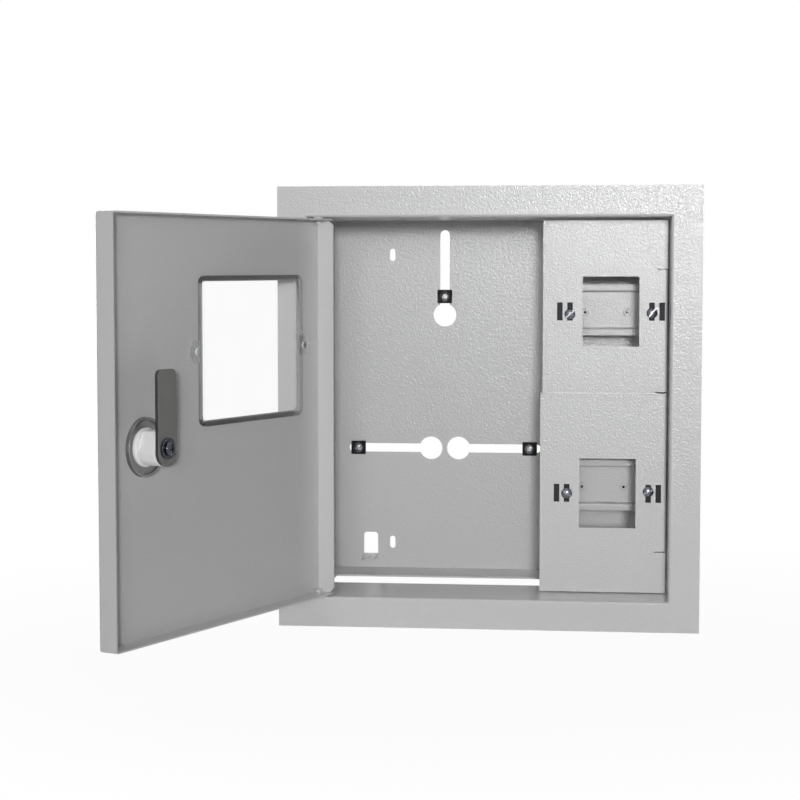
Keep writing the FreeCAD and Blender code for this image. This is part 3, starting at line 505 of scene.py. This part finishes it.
def smooth_shade(piece, angle=35.0):
    """Smooth shading with the sharp edges kept."""
    piece.data.shade_smooth()
    shape = bmesh.new()
    shape.from_mesh(piece.data)
    for edge in shape.edges:
        if len(edge.link_faces) == 2 and edge.calc_face_angle(0.0) > math.radians(angle):
            edge.smooth = False
    shape.to_mesh(piece.data)
    shape.free()


def join(name, members):
    """Several like pieces as one mesh."""
    shape = bmesh.new()
    for member in members:
        shape.from_mesh(member.data)
        spare = member.data
        bpy.data.objects.remove(member)
        bpy.data.meshes.remove(spare)
    return as_object(name, shape)


def fit(piece, body, slot, material, *nodes, angle=35.0):
    """Finish a piece that stands for nodes, and set it on its body."""
    smooth_shade(piece, angle)
    piece.data.materials.clear()
    piece.data.materials.append(material)
    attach(piece, body)
    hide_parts(*nodes)


def facing(place, direction, turn=0.0):
    """Matrix that puts +Z along a direction, turned about it."""
    twist = Matrix.Rotation(turn, 4, "Z")
    return Matrix.Translation(place) @ direction.to_track_quat("Z", "Y").to_matrix().to_4x4() @ twist


def four_boxes(node):
    """The box of each of four like fasteners in one node."""
    points = [vertex.co for vertex in frame["nodes"][node].data.vertices]
    boxes = []
    for above in (True, False):
        row = [point for point in points if (point.z > 0) == above]
        middle = (min(p.x for p in row) + max(p.x for p in row)) / 2
        for right in (False, True):
            group = [point for point in row if (point.x > middle) == right]
            low = Vector(map(min, zip(*group)))
            high = Vector(map(max, zip(*group)))
            boxes.append((low, high))
    return boxes


class PaintSheetMetal(bpy.types.Operator):
    """Powder-coat the shell, trays, hinge pins, covers and door"""
    bl_idname = "meter_box.paint_sheet_metal"
    bl_label = "Paint sheet metal"

    def execute(self, context):
        coat = powder_coat(context.scene.meter_box_paint)
        for node in PAINTED:
            dress(node, coat)
        return {"FINISHED"}


class RollRails(bpy.types.Operator):
    """Roll the two rails with rounded bends"""
    bl_idname = "meter_box.roll_rails"
    bl_label = "Roll rails"

    def execute(self, context):
        settings = context.scene.meter_box_paint
        rivets = four_boxes("rail_rivets")
        for bay, holes in (("upper", rivets[:2]), ("lower", rivets[2:])):
            piece = as_object(bay + "_rolled_rail", self.roll(bay + "_din_rail", settings))
            for low, high in holes:
                drill = bmesh.new()
                bmesh.ops.create_cone(drill, cap_ends=True, segments=24, radius1=settings.rail_hole,
                                      radius2=settings.rail_hole, depth=12 * MM)
                cut(piece, as_object("drill", drill, facing((low + high) / 2, FRONT)))
            coat = bpy.data.materials["powder_coat"]
            fit(piece, "cabinet", "grey_paint", coat, bay + "_din_rail", angle=8.0)
        return {"FINISHED"}

    @staticmethod
    def roll(node, settings):
        """The section of a rail drawn out along X, with its bends rounded."""
        low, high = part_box(node)
        steel, channel = settings.rail_steel, settings.rail_channel
        half, level = (high.z - low.z) / 2, (high.z + low.z) / 2
        face = [(low.y, half), (low.y, channel), (high.y - steel, channel)]
        rear = [(high.y, channel + steel), (low.y + steel, channel + steel), (low.y + steel, half)]
        points = [(y, level + z) for y, z in face] + [(y, level - z) for y, z in reversed(face)]
        points += [(y, level - z) for y, z in reversed(rear)] + [(y, level + z) for y, z in rear]
        shape = bmesh.new()
        shape.faces.new([shape.verts.new((low.x, y, z)) for y, z in points])
        grown = bmesh.ops.extrude_face_region(shape, geom=shape.faces[:])["geom"]
        far = [item for item in grown if isinstance(item, bmesh.types.BMVert)]
        bmesh.ops.translate(shape, verts=far, vec=(high.x - low.x, 0, 0))
        bmesh.ops.recalc_face_normals(shape, faces=shape.faces)
        outer = [points[index] for index in (1, 4, 8, 9)]
        inner = [points[index] for index in (2, 3, 7, 10)]
        for corners, radius in ((outer, settings.rail_bend), (inner, settings.rail_bend - steel)):
            edges = [edge for edge in shape.edges if RollRails.runs_at(edge, corners)]
            bmesh.ops.bevel(shape, geom=edges, offset=radius, offset_type="OFFSET", segments=5, profile=0.5,
                            affect="EDGES")
        return shape

    @staticmethod
    def runs_at(edge, corners):
        """Whether an edge runs the length of the rail at one of the corners of its section."""
        near, far = (vertex.co for vertex in edge.verts)
        return abs(near.x - far.x) > MM and any(
            math.hypot(near.y - y, near.z - z) < NEAR for y, z in corners)


class FinishBrackets(bpy.types.Operator):
    """Blacken the brackets behind the covers, so that the slots over them read as dark painted shade, and
    finish the rivets that hold the rails
    """
    bl_idname = "meter_box.finish_brackets"
    bl_label = "Finish brackets"

    def execute(self, context):
        # Painted shade: the brackets are near black, so the slots in the covers over them look dark, as if
        # deep in shade.
        slot_shade_black = metal("black_bracket_slot_shade", (0.02, 0.02, 0.022), 0.5, patch=0.012, wear_and_glint=0.1)
        for node in ("upper_bracket", "lower_bracket"):
            dress(node, slot_shade_black)
        # Dark rounds at the rivets: painted shade of their holes, with the bare mandrel in them.
        hole_shade_rounds = [((low + high) / 2, 1.1 * MM) for low, high in four_boxes("rail_rivets")]
        dress("rail_rivets", powder_coat(context.scene.meter_box_paint, "painted_rivets", hole_shade_rounds))
        return {"FINISHED"}


class FinishPlating(bpy.types.Operator):
    """Plate the window's rivets and the nuts of the slides"""
    bl_idname = "meter_box.finish_plating"
    bl_label = "Finish rivets and nuts"

    def execute(self, context):
        plating = metal("zinc_plating", context.scene.meter_box_fasteners.plating, 0.34)
        dress("window_rivets", plating)
        for name in SLIDES:
            dress(name + "_slider_nut", plating)
            soften(name + "_slider_nut", 0.35 * MM)
        return {"FINISHED"}


class FitScrews(bpy.types.Operator):
    """Fit the slotted cover screws and the cross-headed slide and cam screws"""
    bl_idname = "meter_box.fit_screws"
    bl_label = "Fit screws"

    def execute(self, context):
        settings = context.scene.meter_box_fasteners
        steel = metal("blued_steel", settings.colour, 0.24, patch=0.003)
        self.fit_cover_screws(settings, steel)
        bright = metal("bright_steel", settings.slide_colour, 0.34, patch=0.003)
        for name in SLIDES:
            self.fit_slide_screw(name, settings, bright)
        black = metal("blackened_steel", settings.cam_colour, 0.16, patch=0.003)
        self.fit_cam_screw(settings, black)
        dress("cam_washer", black)
        soften("cam_washer", 0.2 * MM)
        return {"FINISHED"}

    @staticmethod
    def fit_cover_screws(settings, steel):
        high = settings.cover_head
        members = []
        for (low, far), turn in zip(four_boxes("cover_screws"), COVER_SCREW_TURNS):
            seat, radius = head_place(low, far, high)
            slot = recess(radius * 1.3, RECESS_HALF, RECESS_DEPTH, high + RECESS_SPARE, 2)
            place = facing(seat, FRONT, math.radians(turn))
            members.append(make_screw("cover_screw", radius, high, COVER_SHANK, far.y - seat.y, slot, place,
                                      settings))
        fit(join("slotted_cover_screws", members), "cabinet", "dark_screws", steel, "cover_screws")

    @staticmethod
    def fit_slide_screw(name, settings, steel):
        node = name + "_slider_screw"
        high = settings.slide_head
        low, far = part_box(node)
        seat, radius = head_place(low, far, high)
        cross = recess(0.66 * radius, RECESS_HALF, RECESS_DEPTH, high + RECESS_SPARE, 4)
        place = facing(seat, FRONT, math.radians(SLIDE_SCREW_TURN))
        piece = make_screw(name + "_slide_screw", radius, high, MACHINE_SHANK, far.y - seat.y, cross, place,
                           settings)
        fit(piece, name + "_slider", "dark_screws", steel, node)

    @staticmethod
    def fit_cam_screw(settings, steel):
        high = settings.cam_head
        lock = JOINTS["lock_turn"]
        inward, start = Vector(lock["axis"]), Vector(lock["pos_m"])
        low, far = node_span("cam_screw", inward)
        seat = start + inward * (far - high - start.dot(inward))
        cross = recess(0.64 * CAM_HEAD_RADIUS, CAM_RECESS_HALF, CAM_RECESS_DEPTH, high + RECESS_SPARE, 4)
        place = facing(seat, inward, math.radians(CAM_SCREW_TURN))
        piece = make_screw("cam_fixing_screw", CAM_HEAD_RADIUS, high, MACHINE_SHANK, far - high - low, cross,
                           place, settings)
        fit(piece, "lock_rotor", "dark_screws", steel, "cam_screw")


class FinishLock(bpy.types.Operator):
    """Give dish, barrel, plug and cam of the lock their finishes"""
    bl_idname = "meter_box.finish_lock"
    bl_label = "Finish lock"

    def execute(self, context):
        settings = context.scene.meter_box_fittings
        zinc = metal("die_cast_zinc", settings.zinc_colour, 0.42, patch=0.006)
        for node in ("lock_escutcheon", "lock_plug"):
            dress(node, zinc)
            soften(node, 0.25 * MM)
        dress("lock_sleeve", plastic("barrel_plastic", settings.barrel_colour, 0.35))
        soften("lock_sleeve", 0.3 * MM)
        dress("lock_cam", metal("phosphated_steel", settings.cam_colour, 0.38, patch=0.014))
        soften("lock_cam", 0.35 * MM)
        return {"FINISHED"}


class FinishWindow(bpy.types.Operator):
    """Make the window pane clear, with a dark lip of painted shade, ears lightened as a painted highlight,
    and faint haze
    """
    bl_idname = "meter_box.finish_window"
    bl_label = "Finish window"

    def execute(self, context):
        settings = context.scene.meter_box_fittings
        material, recipe, shader = new_finish("clear_pane")
        out = door_direction()
        low, high = node_span("window_pane", out)
        floor, roof = node_span("window_pane", UP)
        half_wide, half_high = settings.window_half
        along = recipe.dot(recipe.place(), out) - (low + high) / 2
        across = abs(along)
        height = abs(recipe.dot(recipe.place(), UP) - (floor + roof) / 2)
        # Painted shade: the lip is darkened and made more opaque in place of the light the pane's edge turns
        # away. It starts further out at the free edge and is fainter at the hinge side.
        sides = across.math("MAXIMUM", along - 2.5 * MM, -1.0 * along) - half_wide
        beyond = sides.math("MAXIMUM", sides, height - half_high - 0.6 * MM)
        strength = recipe.spread(along, -half_wide - 0.4 * MM, 1.0 * MM - half_wide, 0.62, 1.0)
        # Painted highlight: the ears are made a pale, partly opaque white, standing for the glints on their
        # clear plastic.
        ear_highlight = recipe.spread(across - half_wide, 3.2 * MM, 3.8 * MM)
        haze = recipe.noise(0.02, detail=2.0)
        lip = recipe.spread(beyond, -0.3 * MM, 0.3 * MM) * strength * (1.0 - ear_highlight)
        cover = settings.rim_cover + 0.4 * recipe.spread(along, half_wide + 0.6 * MM, half_wide + 1.2 * MM)
        hidden = settings.pane_haze + (cover - settings.pane_haze) * lip + 0.3 * ear_highlight
        recipe.feed(shader, {
            "Base Color": recipe.blend(lip, rgba((0.9, 0.92, 0.92)), rgba(settings.rim_shade_colour)),
            "Alpha": hidden + 0.02 * haze, "Roughness": 0.04 + 0.06 * haze, "IOR": 1.49})
        dress("window_pane", material)
        soften("window_pane", 0.3 * MM)
        return {"FINISHED"}


class FinishSlides(bpy.types.Operator):
    """Give the slide plates their moulded black finish"""
    bl_idname = "meter_box.finish_slides"
    bl_label = "Finish slides"

    def execute(self, context):
        settings = context.scene.meter_box_fittings
        black = plastic("black_plastic", settings.slide_colour, 0.55, shine=0.12)
        for name in SLIDES:
            dress(name + "_slider_plate", black)
            soften(name + "_slider_plate", 0.35 * MM)
        return {"FINISHED"}


class SetStudio(bpy.types.Operator):
    """Set the floor, the lamps, the white surroundings and the camera"""
    bl_idname = "meter_box.set_studio"
    bl_label = "Set studio"

    def execute(self, context):
        scene = context.scene
        settings = scene.meter_box_studio
        self.surround(scene, settings)
        self.lay_floor()
        self.hang_lamps(settings)
        self.stand_camera(scene, settings)
        scene.view_settings.view_transform = "Standard"
        return {"FINISHED"}

    @staticmethod
    def seen(recipe):
        """1 for the rays that look at the surroundings, 0 for those that carry light."""
        paths = ("Is Camera Ray", "Is Glossy Ray", "Is Transmission Ray")
        first, second, third = (recipe.node("ShaderNodeLightPath", out=path) for path in paths)
        return first.math("MAXIMUM", first.math("MAXIMUM", first, second), third)

    def surround(self, scene, settings):
        world = bpy.data.worlds.new("white_surroundings")
        world.use_nodes = True
        scene.world = world
        recipe = Recipe(world.node_tree)
        light, white = (
            recipe.node("ShaderNodeBackground", {}, {"Color": rgba(WHITE), "Strength": strength})
            for strength in (settings.ambient, 1.0))
        both = recipe.node("ShaderNodeMixShader", {}, {0: self.seen(recipe), 1: light, 2: white})
        recipe.feed(world.node_tree.nodes["World Output"], {"Surface": both})

    def lay_floor(self):
        shape = bmesh.new()
        half_floor, shaded, white = 6.0, 0.22, 0.55
        bmesh.ops.create_grid(shape, x_segments=1, y_segments=1, size=half_floor)
        floor = as_object("studio_floor", shape, Matrix.Translation((0, 0, CAD_BOX[0].z)))
        material, recipe, shader = new_finish("pale_floor")
        recipe.feed(shader, {"Base Color": rgba((0.8, 0.8, 0.8)), "Roughness": 0.9})
        glow = recipe.node("ShaderNodeEmission", {}, {"Color": rgba(WHITE), "Strength": 1.0})
        # Only close to the object does the floor show its own light and shade.
        reach = recipe.node("ShaderNodeVectorMath", {"operation": "LENGTH"}, {0: recipe.place()}, out="Value")
        share = self.seen(recipe) * recipe.spread(reach, shaded, white, 0.94, 1.0)
        both = recipe.node("ShaderNodeMixShader", {}, {0: share, 1: Wire(recipe, shader.outputs[0]), 2: glow})
        recipe.feed(material.node_tree.nodes["Material Output"], {"Surface": both})
        floor.data.materials.append(material)

    def hang_lamps(self, settings):
        # Name, place, aim, size, spread in degrees, power.
        lamps = (
            ("key_lamp", (0.32, -3.2, 0.33), (0.03, 0.0, 0.16), 0.28, 38.0, settings.key),
            ("fill_lamp", (0.0, -3.2, 0.55), (0.0, 0.0, 0.06), 0.8, 60.0, settings.fill),
            ("top_lamp", (-0.05, -0.35, 1.3), (-0.05, -0.1, 0.0), 0.9, 120.0, settings.top),
            ("rear_lamp_left", (-0.9, 1.2, 0.35), (0.0, 0.1, 0.0), 0.8, 120.0, settings.rear),
            ("rear_lamp_right", (0.9, 1.2, 0.6), (0.0, 0.1, 0.0), 0.8, 120.0, settings.rear))
        for name, place, aim, size, spread, power in lamps:
            data = bpy.data.lights.new(name, "AREA")
            data.energy = power
            data.shape = "DISK"
            data.size = size
            data.spread = math.radians(spread)
            lamp = bpy.data.objects.new(name, data)
            lamp.location = place
            lamp.rotation_euler = (Vector(aim) - Vector(place)).to_track_quat("-Z", "Y").to_euler()
            bpy.context.scene.collection.objects.link(lamp)

    def stand_camera(self, scene, settings):
        data = bpy.data.cameras.new("camera")
        data.lens = settings.lens
        data.sensor_width = 36.0
        data.clip_start = 0.05
        data.clip_end = 50.0
        camera = bpy.data.objects.new("camera", data)
        camera.location = settings.eye
        camera.rotation_euler = (math.radians(90) - settings.down, 0.0, settings.left)
        scene.collection.objects.link(camera)
        scene.camera = camera


class MeterBoxPanel(bpy.types.Panel):
    """Settings and steps of the meter box"""
    bl_idname = "VIEW3D_PT_meter_box"
    bl_label = "Meter box"
    bl_space_type = "VIEW_3D"
    bl_region_type = "UI"
    bl_category = "Meter box"

    def draw(self, context):
        scene = context.scene
        for group in (scene.meter_box_paint, scene.meter_box_fittings, scene.meter_box_fasteners,
                      scene.meter_box_studio):
            box = self.layout.box()
            for name in group.__annotations__:
                box.prop(group, name)
        for operator in OPERATORS:
            self.layout.operator(operator.bl_idname)


GROUPS = {"meter_box_paint": PaintSettings, "meter_box_fittings": FittingSettings,
          "meter_box_fasteners": FastenerSettings, "meter_box_studio": StudioSettings}
OPERATORS = (PaintSheetMetal, RollRails, FinishBrackets, FinishPlating, FitScrews, FinishLock, FinishWindow,
             FinishSlides, SetStudio)


def register():
    for group in GROUPS.values():
        bpy.utils.register_class(group)
    for name, group in GROUPS.items():
        setattr(bpy.types.Scene, name, bpy.props.PointerProperty(type=group))
    for operator in OPERATORS:
        bpy.utils.register_class(operator)
    bpy.utils.register_class(MeterBoxPanel)


def unregister():
    bpy.utils.unregister_class(MeterBoxPanel)
    for operator in reversed(OPERATORS):
        bpy.utils.unregister_class(operator)
    for name, group in GROUPS.items():
        delattr(bpy.types.Scene, name)
        bpy.utils.unregister_class(group)


def main():
    register()
    bpy.ops.meter_box.paint_sheet_metal()
    bpy.ops.meter_box.roll_rails()
    bpy.ops.meter_box.finish_brackets()
    bpy.ops.meter_box.finish_plating()
    bpy.ops.meter_box.fit_screws()
    bpy.ops.meter_box.finish_lock()
    bpy.ops.meter_box.finish_window()
    bpy.ops.meter_box.finish_slides()
    bpy.ops.meter_box.set_studio()


if __name__ == "__main__":
    main()
